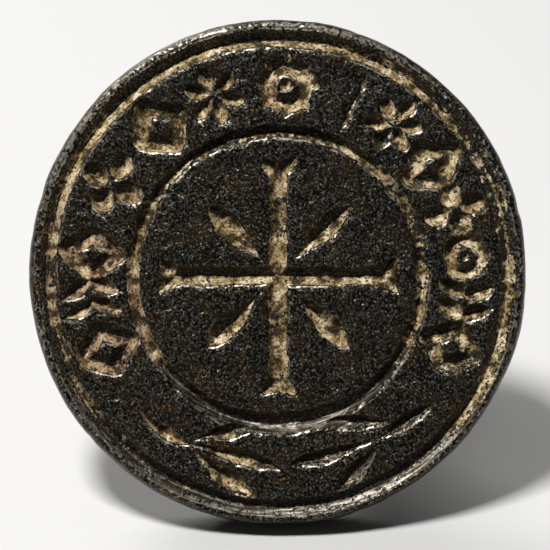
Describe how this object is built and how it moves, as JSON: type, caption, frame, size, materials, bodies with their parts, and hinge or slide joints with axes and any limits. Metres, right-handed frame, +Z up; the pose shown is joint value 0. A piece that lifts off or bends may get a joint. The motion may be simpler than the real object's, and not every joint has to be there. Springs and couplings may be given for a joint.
{
  "type": "seal matrix",
  "caption": "Round engraved metal seal matrix with a hinged folding handle, lying on its rim and the lobed head of the handle.",
  "frame": {"origin": "on the table, below the middle of the whole as it lies", "axes": "+Z up from the table, the engraved face looks towards -Y and tips up by 27.3 degrees, the handle runs back towards +Y"},
  "size_m": [0.0298, 0.0336, 0.0277],
  "materials": {
    "dark_patina": "near-black patinated copper alloy, fine grained, with ochre earth in the cuts and a worn grey rim",
    "worn_bronze": "dark brown patina, worn to dull bronze along the edges",
    "pin_bronze": "hammered bronze, rubbed on the domes"
  },
  "bodies": {
    "die": {"die_plate": "dark_patina", "hinge_saddle": "worn_bronze", "hinge_pin": "pin_bronze"},
    "handle": {"handle": "worn_bronze"}
  },
  "joints": [
    {"name": "handle_fold", "type": "hinge", "parent": "die", "child": "handle", "pos_m": [0, -0.00354, 0.01113], "axis": [1, 0, 0], "range_deg": [0, 100]}
  ]
}
